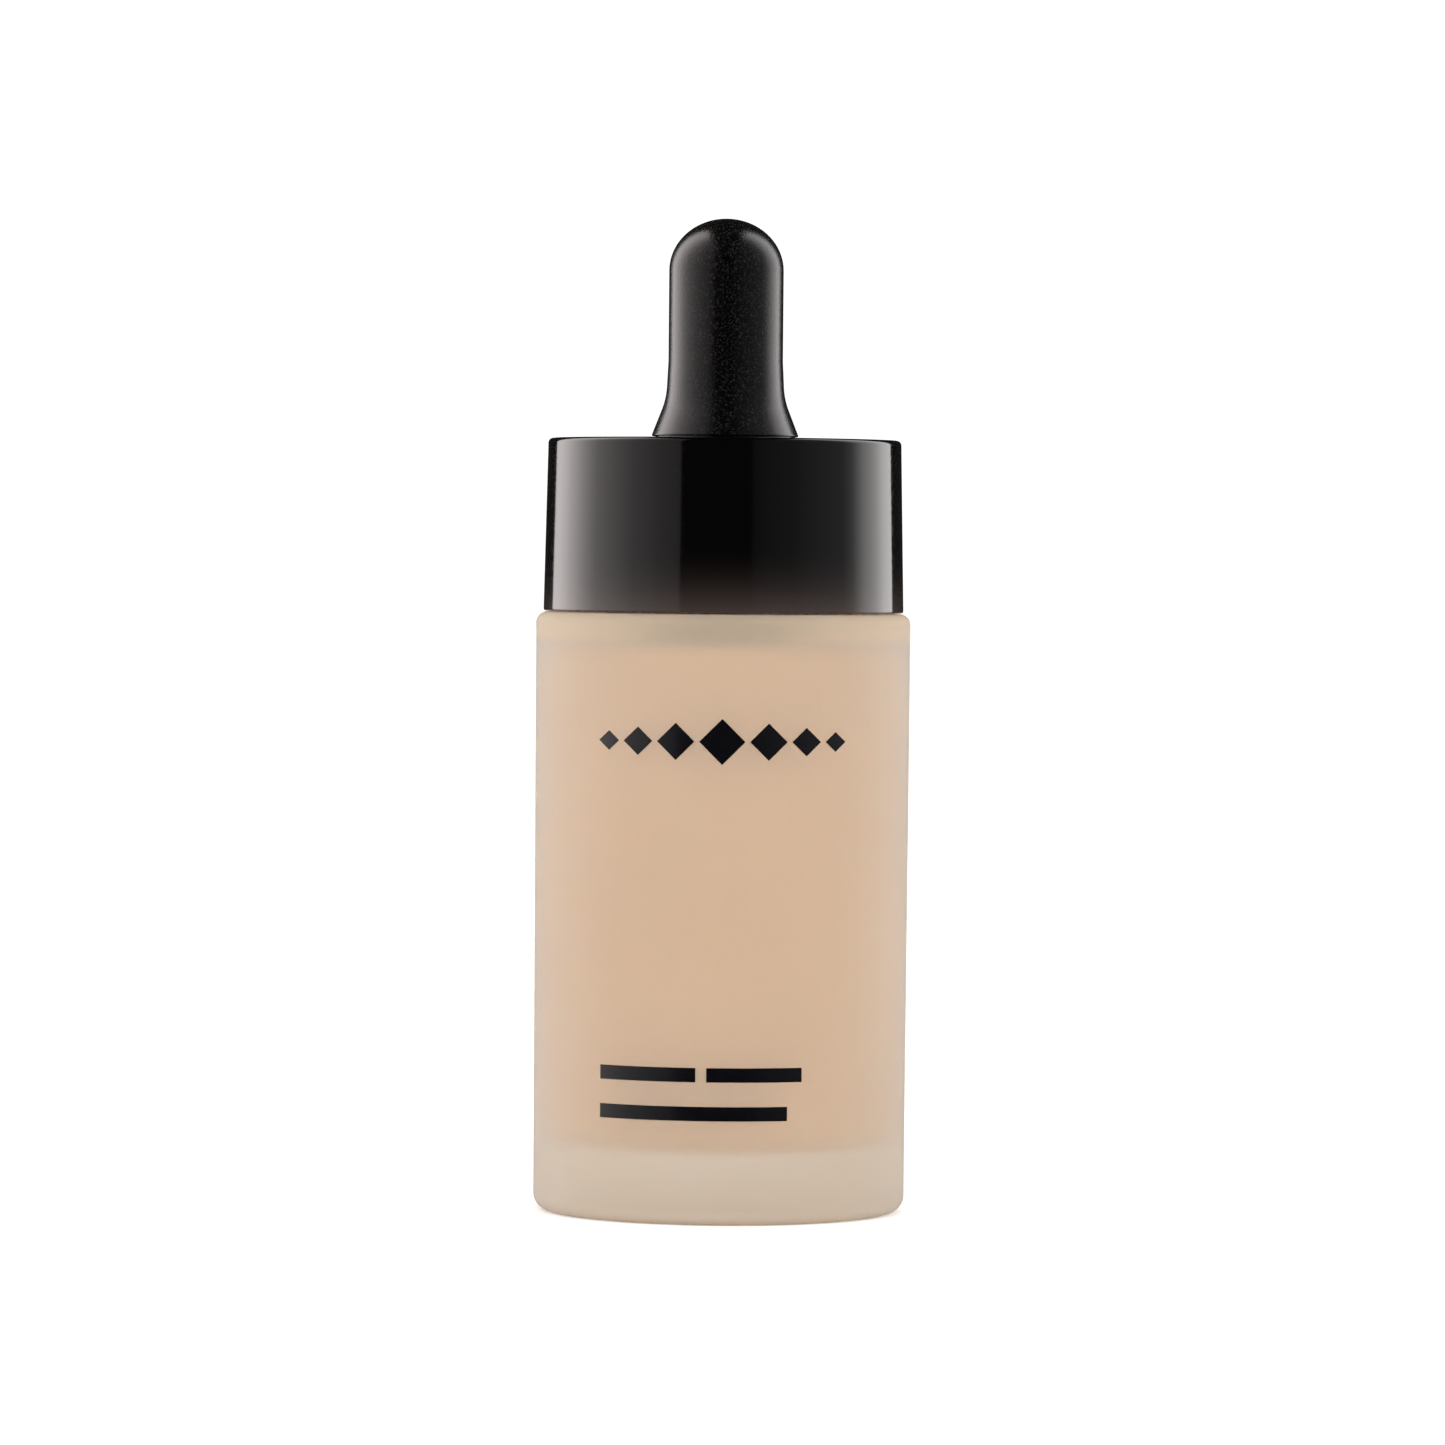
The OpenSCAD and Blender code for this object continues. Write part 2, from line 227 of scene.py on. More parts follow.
def smooth(piece, sharp=35):
    """Smooth shading that keeps edges over an angle sharp and long flat stretches flat."""
    only(piece)
    bpy.ops.object.shade_smooth_by_angle(angle=math.radians(sharp))
    weighted = piece.modifiers.new("even_shading", "WEIGHTED_NORMAL")
    weighted.keep_sharp = True
    weighted.weight = 80
    bpy.ops.object.modifier_apply(modifier=weighted.name)


def join(name, pieces):
    """Several meshes as one piece."""
    bpy.ops.object.select_all(action="DESELECT")
    for piece in pieces:
        piece.select_set(True)
    bpy.context.view_layer.objects.active = pieces[0]
    bpy.ops.object.join()
    pieces[0].name = name
    pieces[0].data.name = name
    return pieces[0]


def finish_piece(piece, body, material, slot, *nodes):
    """Puts a piece on its body, with its material and the CAD nodes that it stands for."""
    piece.data.materials.clear()
    piece.data.materials.append(material)
    if body:
        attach(piece, body)
    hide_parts(*nodes)
    return piece


# ------------------------------------------------------------------ shared node groups
def new_group(name, inputs, outputs):
    """An empty node group: inputs and outputs are (name, kind, default)."""
    group = bpy.data.node_groups.new(name, "ShaderNodeTree")
    for label, kind, default in inputs:
        made = group.interface.new_socket(name=label, in_out="INPUT", socket_type=kind)
        if default is not None:
            made.default_value = default
    for label, kind in outputs:
        group.interface.new_socket(name=label, in_out="OUTPUT", socket_type=kind)
    return group, group.nodes.new("NodeGroupInput"), group.nodes.new("NodeGroupOutput")


def grain_group():
    """Fine even grain, as on frosted glass or moulded rubber: a height, and a mask from 0 to 1."""
    group, given, put = new_group(
        "fine_grain",
        [("Vector", "NodeSocketVector", None), ("Scale", "NodeSocketFloat", 4000.0)],
        [("Height", "NodeSocketFloat"), ("Mask", "NodeSocketFloat")],
    )
    link = group.links.new
    fine = group.nodes.new("ShaderNodeTexNoise")
    fine.inputs["Detail"].default_value = 3
    fine.inputs["Roughness"].default_value = 0.6
    link(given.outputs["Vector"], fine.inputs["Vector"])
    link(given.outputs["Scale"], fine.inputs["Scale"])
    spread = group.nodes.new("ShaderNodeMapRange")
    spread.inputs["From Min"].default_value = 0.35
    spread.inputs["From Max"].default_value = 0.65
    link(fine.outputs["Fac"], spread.inputs["Value"])
    link(fine.outputs["Fac"], put.inputs["Height"])
    link(spread.outputs["Result"], put.inputs["Mask"])
    return group


def drift_group():
    """Slow change over the surface between two values, as handling and moulding leave it."""
    group, given, put = new_group(
        "slow_drift",
        [
            ("Vector", "NodeSocketVector", None),
            ("Scale", "NodeSocketFloat", 120.0),
            ("Low", "NodeSocketFloat", 0.0),
            ("High", "NodeSocketFloat", 1.0),
        ],
        [("Value", "NodeSocketFloat")],
    )
    link = group.links.new
    slow = group.nodes.new("ShaderNodeTexNoise")
    slow.inputs["Detail"].default_value = 2
    link(given.outputs["Vector"], slow.inputs["Vector"])
    link(given.outputs["Scale"], slow.inputs["Scale"])
    spread = group.nodes.new("ShaderNodeMapRange")
    spread.inputs["From Min"].default_value = 0.3
    spread.inputs["From Max"].default_value = 0.7
    link(slow.outputs["Fac"], spread.inputs["Value"])
    link(given.outputs["Low"], spread.inputs["To Min"])
    link(given.outputs["High"], spread.inputs["To Max"])
    link(spread.outputs["Result"], put.inputs["Value"])
    return group


GRAIN = grain_group()
DRIFT = drift_group()


# ------------------------------------------------------------------ finishes
def new_material(name):
    """A material with its shader and its coordinates, ready to link."""
    material = bpy.data.materials.new(name)
    material.use_nodes = True
    nodes = material.node_tree.nodes
    shader = nodes["Principled BSDF"]
    place = nodes.new("ShaderNodeTexCoord").outputs["Object"]
    return material, nodes, material.node_tree.links.new, shader, place


def add_grain(nodes, link, place, scale):
    """The grain group at one fineness."""
    made = nodes.new("ShaderNodeGroup")
    made.node_tree = GRAIN
    made.inputs["Scale"].default_value = scale
    link(place, made.inputs["Vector"])
    return made


def add_drift(nodes, link, place, scale, low, high):
    """The drift group between two values."""
    made = nodes.new("ShaderNodeGroup")
    made.node_tree = DRIFT
    made.inputs["Scale"].default_value = scale
    made.inputs["Low"].default_value = low
    made.inputs["High"].default_value = high
    link(place, made.inputs["Vector"])
    return made


def add_bump(nodes, link, height, shader, strength, depth):
    """Fine relief on a shader, from a height."""
    bump = nodes.new("ShaderNodeBump")
    bump.inputs["Strength"].default_value = strength
    bump.inputs["Distance"].default_value = depth
    link(height, bump.inputs["Height"])
    link(bump.outputs["Normal"], shader.inputs["Normal"])


def add_mix(nodes, link, mask, first, second, socket=None):
    """A colour between two, by a mask; the first may come from another node."""
    mix = nodes.new("ShaderNodeMix")
    mix.data_type = "RGBA"
    colours = [end for end in mix.inputs if end.type == "RGBA"]
    result = next(end for end in mix.outputs if end.type == "RGBA")
    if isinstance(first, tuple):
        colours[0].default_value = (*first, 1)
    else:
        link(first, colours[0])
    colours[1].default_value = (*second, 1)
    link(mask, mix.inputs["Factor"])
    if socket:
        link(result, socket)
    return result


def add_power(nodes, link, mask, power):
    """A mask that keeps to its strongest places."""
    curve = nodes.new("ShaderNodeMath")
    curve.operation = "POWER"
    curve.inputs[1].default_value = power
    link(mask, curve.inputs[0])
    return curve.outputs["Value"]


def add_height_mask(nodes, link, place, clear, full, power=1):
    """A mask from 0 at one height to 1 at another: a soft step, or a power that gathers it."""
    split = nodes.new("ShaderNodeSeparateXYZ")
    link(place, split.inputs["Vector"])
    mask = nodes.new("ShaderNodeMapRange")
    mask.interpolation_type = "SMOOTHSTEP" if power == 1 else "LINEAR"
    mask.inputs["From Min"].default_value = clear
    mask.inputs["From Max"].default_value = full
    link(split.outputs["Z"], mask.inputs["Value"])
    if power == 1:
        return mask.outputs["Result"]
    return add_power(nodes, link, mask.outputs["Result"], power)


def frosted_glass():
    material, nodes, link, shader, place = new_material("frosted_glass")
    shader.inputs["Transmission Weight"].default_value = 0.7
    shader.inputs["IOR"].default_value = 1.5
    tone = add_drift(nodes, link, place, 60, 0, 1)
    body = add_mix(nodes, link, tone.outputs["Value"], (0.69, 0.625, 0.547),
                   (0.675, 0.613, 0.537))
    # Painted light: below the cavity floor the colour turns warmer, with less green and blue,
    # standing in for the liquid's colour that light carries into the solid foot.
    foot = add_height_mask(nodes, link, place, FLOOR_Z + 1.5 * MM, FLOOR_Z - 1.5 * MM)
    lower = add_mix(nodes, link, foot, body, (0.70, 0.615, 0.51))
    # Painted light: the shoulder band under the collar is made brighter and warmer, standing in
    # for the liquid's glow that the collar's shade takes away.
    painted_shoulder_glow = add_height_mask(nodes, link, place, ROOF_Z - 0.4 * MM, ROOF_Z + 0.8 * MM)
    with_painted_glow = add_mix(nodes, link, painted_shoulder_glow, lower, (0.825, 0.685, 0.51))
    neck = add_height_mask(nodes, link, place, SHOULDER_Z - 0.3 * MM, SHOULDER_Z + 0.3 * MM)
    add_mix(nodes, link, neck, with_painted_glow, (0.74, 0.72, 0.68), shader.inputs["Base Color"])
    shader.inputs["Sheen Weight"].default_value = 0.18
    shader.inputs["Sheen Roughness"].default_value = 0.5
    rough = add_drift(nodes, link, place, 90, 0.64, 0.70)
    link(rough.outputs["Value"], shader.inputs["Roughness"])
    grain = add_grain(nodes, link, place, 9000)
    add_bump(nodes, link, grain.outputs["Height"], shader, 0.25, 0.01 * MM)
    return material


def clear_glass():
    material, nodes, link, shader, place = new_material("clear_glass")
    shader.inputs["Base Color"].default_value = (0.83, 0.85, 0.85, 1)
    shader.inputs["Transmission Weight"].default_value = 1.0
    shader.inputs["IOR"].default_value = 1.5
    rough = add_drift(nodes, link, place, 200, 0.0, 0.03)
    link(rough.outputs["Value"], shader.inputs["Roughness"])
    draw = add_drift(nodes, link, place, 350, 0, 1)
    add_bump(nodes, link, draw.outputs["Value"], shader, 0.05, 0.02 * MM)
    return material


def foundation_liquid():
    material, nodes, link, shader, place = new_material("foundation_liquid")
    tone = add_drift(nodes, link, place, 45, 0, 1)
    add_mix(nodes, link, tone.outputs["Value"], (0.86, 0.56, 0.25), (0.90, 0.60, 0.29),
            shader.inputs["Base Color"])
    rough = add_drift(nodes, link, place, 150, 0.3, 0.4)
    link(rough.outputs["Value"], shader.inputs["Roughness"])
    shader.inputs["Subsurface Weight"].default_value = 0.4
    shader.inputs["Subsurface Radius"].default_value = (1.0, 0.5, 0.3)
    shader.inputs["Subsurface Scale"].default_value = 1.0 * MM
    return material


def collar_gloss():
    material, nodes, link, shader, place = new_material("collar_gloss")
    # Painted reflection: the base colour lifts from black to a warm brown towards the collar's
    # foot, standing in for the bottle's warm light that the gloss picks up there.
    foot = add_height_mask(nodes, link, place, COLLAR_BOTTOM + 7.0 * MM,
                           COLLAR_BOTTOM - 0.5 * MM, 3)
    add_mix(nodes, link, foot, (0.0006, 0.0005, 0.0005), (0.046, 0.033, 0.029),
            shader.inputs["Base Color"])
    grain = add_grain(nodes, link, place, 2600)
    rough = nodes.new("ShaderNodeMapRange")
    rough.inputs["To Min"].default_value = 0.05
    rough.inputs["To Max"].default_value = 0.12
    link(grain.outputs["Mask"], rough.inputs["Value"])
    link(rough.outputs["Result"], shader.inputs["Roughness"])
    return material


def bulb_rubber():
    material, nodes, link, shader, place = new_material("bulb_rubber")
    grain = add_grain(nodes, link, place, 4500)
    specks = add_power(nodes, link, grain.outputs["Mask"], 4)
    add_mix(nodes, link, specks, (0.0004, 0.0003, 0.0003), (0.014, 0.013, 0.013),
            shader.inputs["Base Color"])
    shader.inputs["Specular IOR Level"].default_value = 0.4
    rough = add_drift(nodes, link, place, 140, 0.19, 0.24)
    link(rough.outputs["Value"], shader.inputs["Roughness"])
    add_bump(nodes, link, grain.outputs["Height"], shader, 0.8, 0.022 * MM)
    return material


def cap_plastic():
    material, nodes, link, shader, place = new_material("cap_plastic")
    grain = add_grain(nodes, link, place, 2500)
    add_mix(nodes, link, grain.outputs["Mask"], (0.018, 0.017, 0.017), (0.026, 0.025, 0.024),
            shader.inputs["Base Color"])
    rough = add_drift(nodes, link, place, 200, 0.35, 0.5)
    link(rough.outputs["Value"], shader.inputs["Roughness"])
    add_bump(nodes, link, grain.outputs["Height"], shader, 0.2, 0.02 * MM)
    return material


def wiper_plastic():
    material, nodes, link, shader, place = new_material("wiper_plastic")
    tone = add_drift(nodes, link, place, 200, 0, 1)
    add_mix(nodes, link, tone.outputs["Value"], (0.62, 0.61, 0.58), (0.56, 0.55, 0.52),
            shader.inputs["Base Color"])
    rough = add_drift(nodes, link, place, 300, 0.35, 0.5)
    link(rough.outputs["Value"], shader.inputs["Roughness"])
    shader.inputs["Subsurface Weight"].default_value = 0.5
    shader.inputs["Subsurface Radius"].default_value = (1.0, 0.9, 0.8)
    shader.inputs["Subsurface Scale"].default_value = 1.0 * MM
    return material


def print_ink():
    material, nodes, link, shader, place = new_material("print_ink")
    grain = add_grain(nodes, link, place, 6000)
    add_mix(nodes, link, grain.outputs["Mask"], (0.0012, 0.0012, 0.0022), (0.003, 0.003, 0.005),
            shader.inputs["Base Color"])
    rough = add_drift(nodes, link, place, 400, 0.15, 0.25)
    link(rough.outputs["Value"], shader.inputs["Roughness"])
    return material


# ------------------------------------------------------------------ bottle
def bottle_outline():
    """Half section of the glass, from the middle of the foot round to the middle of the floor."""
    ring_out = FOOT_R - FOOT_ROUND
    ring_in = ring_out - FOOT_RING_W
    thread_low = THREAD_Z - THREAD_ROOT_W
    thread_high = THREAD_Z + THREAD_TURNS * THREAD_PITCH + THREAD_ROOT_W
    return (
        [(0, FOOT_RECESS)]
        + arc(ring_in - FOOT_RECESS, 0, FOOT_RECESS, 90, 20, 5)
        + arc(ring_in + FOOT_RECESS * 0.5, FOOT_RECESS * 0.5, FOOT_RECESS * 0.5, 200, 270, 4)
        + arc(ring_out, FOOT_ROUND, FOOT_ROUND, -90, 0)
        + arc(BODY_R - SHOULDER_ROUND, SHOULDER_Z - SHOULDER_ROUND, SHOULDER_ROUND, 0, 90)
        + arc(NECK_R + NECK_FILLET, SHOULDER_Z + NECK_FILLET, NECK_FILLET, 270, 180)
        + rise(NECK_R, thread_low, NECK_R, thread_high, THREAD_ROW)
        + arc(NECK_R - RIM_ROUND, RIM_Z - RIM_ROUND, RIM_ROUND, 0, 90)
        + arc(NECK_BORE_R + RIM_ROUND, RIM_Z - RIM_ROUND, RIM_ROUND, 90, 180)
        + arc(NECK_BORE_R + ROOF_ROUND, ROOF_Z + ROOF_ROUND, ROOF_ROUND, 180, 270)
        + arc(CAVITY_R - ROOF_ROUND, ROOF_Z - ROOF_ROUND, ROOF_ROUND, 90, 0)
        + arc(CAVITY_R - FLOOR_ROUND, FLOOR_Z + FLOOR_ROUND, FLOOR_ROUND, 0, -90)
        + [(0, FLOOR_Z)]
    )


def thread_height(angle, z):
    """How far the thread stands out of the neck at an angle and a height."""
    along = (angle - THREAD_START) / math.tau % 1
    best = 0.0
    while along <= THREAD_TURNS:
        middle = THREAD_Z + THREAD_PITCH * (along + THREAD_START / math.tau)
        slope = (THREAD_ROOT_W - THREAD_CREST_W) / 2
        side = min(1, max(0, 1 - (abs(z - middle) - THREAD_CREST_W / 2) / slope))
        fade = min(1, along / THREAD_FADE, (THREAD_TURNS - along) / THREAD_FADE)
        best = max(best, THREAD_T * side * side * (3 - 2 * side) * math.sin(fade * math.pi / 2))
        along += 1
    return best


def raise_thread(piece):
    """Draws the neck's wall out into its rounded glass thread."""
    for vertex in piece.data.vertices:
        x, y, z = vertex.co
        if z > SHOULDER_Z and abs(math.hypot(x, y) - NECK_R) < 0.01 * MM:
            grow = 1 + thread_height(math.atan2(y, x), z) / NECK_R
            vertex.co = (x * grow, y * grow, z)


def make_bottle():
    piece = turned("bottle_body", bottle_outline(), steps=WIDE_TURN_STEPS)
    raise_thread(piece)
    smooth(piece)
    return finish_piece(piece, "bottle", frosted_glass(), "frosted_glass", "bottle_glass")


def make_foundation(liquid):
    """The liquid wets the glass, so it reaches a hair into the wall, and it clings to the roof."""
    wet = 0.02 * MM
    top = fill_high.z
    cling = 0.3 * MM
    piece = turned(
        "foundation_liquid",
        [(0, FLOOR_Z - wet)]
        + arc(CAVITY_R - FLOOR_ROUND, FLOOR_Z + FLOOR_ROUND, FLOOR_ROUND + wet, -90, 0)
        + arc(CAVITY_R - ROOF_ROUND, ROOF_Z - ROOF_ROUND, ROOF_ROUND + wet, 0, 90)
        + [(NECK_BORE_R + ROOF_ROUND + cling, ROOF_Z + wet)]
        + arc(NECK_BORE_R + ROOF_ROUND, top + cling, cling, 0, -90, 4)
        + [(WELL_R + cling, top)]
        + arc(WELL_R + cling, top + cling, cling, 270, 180, 4)
        + [(WELL_R, pipette_low.z), (0, pipette_low.z - 0.15 * MM)],
    )
    return finish_piece(piece, "bottle", liquid, "foundation_liquid", "foundation_fill")


def make_wiper():
    """Soft plug with a flange on the rim and a funnel that ends in a lip."""
    lip_z, top = wiper_low.z, wiper_high.z
    funnel_z = lip_z + 2.4 * MM
    plug_r, bore_r = NECK_BORE_R - 0.1 * MM, NECK_BORE_R - 0.9 * MM
    lip_r = PIPETTE_R + 0.12 * MM
    edge = 0.2 * MM
    piece = turned(
        "wiper",
        [(lip_r, lip_z + 0.1 * MM), (lip_r + 0.1 * MM, lip_z), (lip_r + 0.5 * MM, lip_z)]
        + [(plug_r, funnel_z), (plug_r, RIM_Z)]
        + arc(wiper_high.x - edge, RIM_Z + edge, edge, -90, 0, 4)
        + arc(wiper_high.x - edge, top - edge, edge, 0, 90, 4)
        + arc(bore_r + edge, top - edge, edge, 90, 180, 4)
        + [(bore_r, funnel_z), (lip_r, lip_z + 0.1 * MM)],
        sharp=50,
    )
    return finish_piece(piece, "bottle", wiper_plastic(), "wiper_plastic", "neck_wiper")


# ------------------------------------------------------------------ print
def flat_patch(x, z, width, height, turn=0.0):
    """A flat patch in front of the bottle, cut finely enough to follow its curve."""
    bpy.ops.object.select_all(action="DESELECT")
    bpy.ops.mesh.primitive_plane_add(size=1)
    patch = bpy.context.object
    patch.scale = (width, height, 1)
    bpy.ops.object.transform_apply(location=False, rotation=False, scale=True)
    patch.rotation_euler = (math.pi / 2, 0, 0)
    bpy.ops.object.transform_apply(location=False, rotation=True, scale=False)
    patch.rotation_euler = (0, turn, 0)
    patch.location = (x, -BODY_R - MM, z)
    bpy.ops.object.transform_apply(location=True, rotation=True, scale=False)
    bpy.ops.object.mode_set(mode="EDIT")
    bpy.ops.mesh.subdivide(number_cuts=max(3, round(width / PATCH_STEP)))
    bpy.ops.object.mode_set(mode="OBJECT")
    return patch


def lay_on(patch, glass):
    """Presses flat ink on the front of the glass, and gives it its thickness."""
    only(patch)
    wrap = patch.modifiers.new("onto_the_glass", "SHRINKWRAP")
    wrap.target = glass
    wrap.wrap_method = "PROJECT"
    wrap.use_project_y = True
    wrap.use_positive_direction = True
    wrap.use_negative_direction = False
    wrap.offset = 0
    bpy.ops.object.modifier_apply(modifier=wrap.name)
    for vertex in patch.data.vertices:
        x, y, z = vertex.co
        lift = 1 + INK_GAP / math.hypot(x, y)
        vertex.co = (x * lift, y * lift, z)
    film = patch.modifiers.new("film_of_ink", "SOLIDIFY")
    film.thickness = INK_T
    film.offset = 1
    bpy.ops.object.modifier_apply(modifier=film.name)
    return patch


def make_emblem(glass, ink):
    """A row of lozenges, largest in the middle."""
    middle_z = (emblem_low.z + emblem_high.z) / 2
    tall = emblem_high.z - emblem_low.z
    patches = []
    for i in range(-LOZENGE_PAIRS, LOZENGE_PAIRS + 1):
        size = (tall - abs(i) * LOZENGE_SHRINK) / math.sqrt(2)
        x = math.copysign(abs(i) * (tall + LOZENGE_GAP) - LOZENGE_SHRINK * i * i / 2, i)
        patches.append(flat_patch(x, middle_z, size, size, math.pi / 4))
    piece = lay_on(join("emblem_print", patches), glass)
    return finish_piece(piece, "bottle", ink, "print_ink", "front_emblem")


def make_lines(glass, ink):
    """Two bars side by side over one longer bar, all starting at the same place."""
    left, right = lines_low.x, lines_high.x
    upper_z, lower_z = lines_high.z - BAR_T / 2, lines_low.z + BAR_T / 2
    short = (right - left - BAR_GAP) / 2
    lower = right - left - LOWER_BAR_SHORTER
    patches = [
        flat_patch(left + short / 2, upper_z, short, BAR_T),
        flat_patch(right - short / 2, upper_z, short, BAR_T),
        flat_patch(left + lower / 2, lower_z, lower, BAR_T),
    ]
    piece = lay_on(join("lines_print", patches), glass)
    return finish_piece(piece, "bottle", ink, "print_ink", "front_lines")


# ------------------------------------------------------------------ collar
def make_rib(turn):
    """One rib between the socket and the wall of the collar, with softened edges."""
    inner, outer = CAP_R + SOCKET_T * 0.6, COLLAR_TOP_R - COLLAR_WALL * 0.6
    low, high = SOCKET_Z + 1.5 * MM, CAP_TOP + 0.3 * MM
    bpy.ops.object.select_all(action="DESELECT")
    bpy.ops.mesh.primitive_cube_add(size=1, location=((inner + outer) / 2, 0, (low + high) / 2))
    rib = bpy.context.object
    rib.scale = (outer - inner, RIB_T, high - low)
    bpy.ops.object.transform_apply(location=True, rotation=False, scale=True)
    rib.rotation_euler = (0, 0, turn)
    bpy.ops.object.transform_apply(location=False, rotation=True, scale=False)
    soft = rib.modifiers.new("soft_edges", "BEVEL")
    soft.width = 0.15 * MM
    soft.segments = 2
    bpy.ops.object.modifier_apply(modifier=soft.name)
    return rib


def make_collar():
    """Open-bottomed shell with a socket inside that grips the screw cap."""
    inner_r = COLLAR_FOOT_R - COLLAR_WALL
    socket_in, socket_out = CAP_R + SNUG, CAP_R + SNUG + SOCKET_T
    edge = 0.2 * MM
    shell = turned(
        "collar",
        arc(inner_r + edge, COLLAR_BOTTOM + edge, edge, 180, 270, 4)
        + arc(COLLAR_FOOT_R - COLLAR_FOOT_ROUND, COLLAR_BOTTOM + COLLAR_FOOT_ROUND,
              COLLAR_FOOT_ROUND, -90, 0, 6)
        + arc(COLLAR_TOP_R - COLLAR_TOP_ROUND, COLLAR_TOP - COLLAR_TOP_ROUND,
              COLLAR_TOP_ROUND, 0, 90, 6)
        + arc(COLLAR_HOLE_R + edge, COLLAR_TOP - edge, edge, 90, 180, 4)
        + [(COLLAR_HOLE_R, CAP_TOP), (socket_in, CAP_TOP)]
        + arc(socket_in + edge, SOCKET_Z + edge, edge, 180, 270, 3)
        + arc(socket_out - edge, SOCKET_Z + edge, edge, -90, 0, 3)
        + [(socket_out, CAP_TOP), (COLLAR_TOP_R - COLLAR_WALL, CAP_TOP)]
        + [(inner_r, COLLAR_BOTTOM + edge)],
        steps=WIDE_TURN_STEPS,
    )
    ribs = [make_rib(math.tau * i / RIB_COUNT) for i in range(RIB_COUNT)]
    piece = join("collar", [shell, *ribs])
    return finish_piece(piece, "collar", collar_gloss(), "collar_gloss", "collar_shell")


# ------------------------------------------------------------------ dropper
def bulb_outline():
    """Half section of the rubber bulb, from its grip on the pipette round to its cavity."""
    draft = math.degrees(math.atan(BARREL_DRAFT / BARREL_DRAFT_H))
    blend_r = BULB_R + BARREL_DRAFT + SKIRT_BLEND * math.cos(math.radians(draft))
    cone_r = blend_r - SKIRT_BLEND * math.cos(math.radians(SKIRT_SLOPE))
    cone_z = SKIRT_Z + (SKIRT_R - cone_r) / math.tan(math.radians(SKIRT_SLOPE))
    blend_z = cone_z + SKIRT_BLEND * math.sin(math.radians(SKIRT_SLOPE))
    draft_z = blend_z - SKIRT_BLEND * math.sin(math.radians(draft))
    barrel_z, dome_z = draft_z + BARREL_DRAFT_H, BULB_TOP - DOME_H
    bead_z, bead_top = pipette_high.z - BEAD_T, pipette_high.z
    grip_r, bead_r = PIPETTE_R + SNUG, BEAD_R + SNUG
    lip_r, lip_z = PIPETTE_BORE_R + 0.3 * MM, bead_top + 0.6 * MM
    cavity_r = BULB_R - BULB_WALL
    edge, row = 0.12 * MM, 0.7 * MM
    return (
        [(grip_r, FLANGE_Z), (FLANGE_R - edge, FLANGE_Z)]
        + arc(FLANGE_R - edge, FLANGE_Z + FLANGE_T - edge, edge, 0, 90, 3)
        + [(HUB_R, FLANGE_Z + FLANGE_T), (HUB_R, SKIRT_Z)]
        + arc(SKIRT_R - edge, SKIRT_Z + edge, edge, -90, 0, 4)
        + rise(SKIRT_R - edge * 0.36, SKIRT_Z + edge * 2, cone_r, cone_z, row)
        + arc(blend_r, blend_z, SKIRT_BLEND, 180 + SKIRT_SLOPE, 180 + draft)
        + rise(BULB_R + BARREL_DRAFT, draft_z, BULB_R, barrel_z, row)
        + rise(BULB_R, barrel_z, BULB_R, dome_z, row)
        + dome(BULB_R, DOME_H, dome_z, DOME_STEPS)
        + dome(cavity_r, DOME_H - BULB_WALL, dome_z)[::-1]
        + rise(cavity_r, dome_z, cavity_r, lip_z + cavity_r - lip_r, row)
        + [(lip_r, lip_z), (lip_r, bead_top), (bead_r, bead_top)]
        + [(bead_r, bead_z), (grip_r, bead_z), (grip_r, FLANGE_Z)]
    )


def make_bulb():
    """The bulb, turned from its outline and left on no body; the real one shortens between the
    skirt, held by the collar, and the end that is pressed.
    """
    piece = turned("bulb", bulb_outline())
    finish_piece(piece, None, bulb_rubber(), "bulb_rubber", "dropper_bulb")
    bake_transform(piece)
    return piece


def make_pipette():
    """Glass tube with a drawn tip and a fire-polished bead."""
    tip_z, top = pipette_low.z, pipette_high.z
    lip = (TIP_R - TIP_BORE_R) / 2
    edge = 0.3 * MM
    piece = turned(
        "pipette",
        arc(TIP_R - lip, tip_z + lip, lip, 180, 360, 6)
        + [(TIP_R + TIP_TAPER, tip_z + TIP_END_H)]
        + arc(PIPETTE_R - DRAW_R, tip_z + TIP_H, DRAW_R, -DRAW_TURN, 0, 6)
        + [(PIPETTE_R, top - BEAD_T)]
        + arc(BEAD_R - edge, top - BEAD_T + edge, edge, -90, 0, 4)
        + arc(BEAD_R - edge, top - edge, edge, 0, 90, 4)
        + arc(PIPETTE_BORE_R + edge, top - edge, edge, 90, 180, 4)
        + arc(PIPETTE_BORE_R - DRAW_R, tip_z + TIP_H, DRAW_R, 0, -DRAW_TURN, 6)
        + [(TIP_BORE_R + TIP_TAPER, tip_z + TIP_END_H), (TIP_BORE_R, tip_z + lip)],
        steps=96,
        sharp=60,
    )
    return finish_piece(piece, "dropper", clear_glass(), "clear_glass", "pipette_tube")


def make_drawn_up(liquid):
    """The liquid that stands in the pipette, up to a rounded meniscus."""
    tip_z, top = pipette_low.z, drawn_up_high.z
    thin = 0.03 * MM
    curve_r, curve_z, middle_z = PIPETTE_BORE_R * 0.6, top - 0.5 * MM, top - 0.8 * MM
    piece = turned(
        "pipette_liquid",
        [(0, tip_z + 0.1 * MM), (TIP_BORE_R - thin, tip_z + 0.2 * MM)]
        + [(TIP_BORE_R + TIP_TAPER - thin, tip_z + TIP_END_H)]
        + arc(PIPETTE_BORE_R - DRAW_R - thin, tip_z + TIP_H, DRAW_R, -DRAW_TURN, 0, 6)
        + [(PIPETTE_BORE_R - thin, top), (curve_r, curve_z), (0, middle_z)],
        steps=64,
    )
    return finish_piece(piece, "dropper", liquid, "foundation_liquid", "pipette_fill")


def finish_screw_cap():
    """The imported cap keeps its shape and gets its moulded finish."""
    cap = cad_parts["screw_cap"]
    material = cap_plastic()
    for slot in cap.material_slots:
        slot.material = material
    if not cap.material_slots:
        cap.data.materials.append(material)


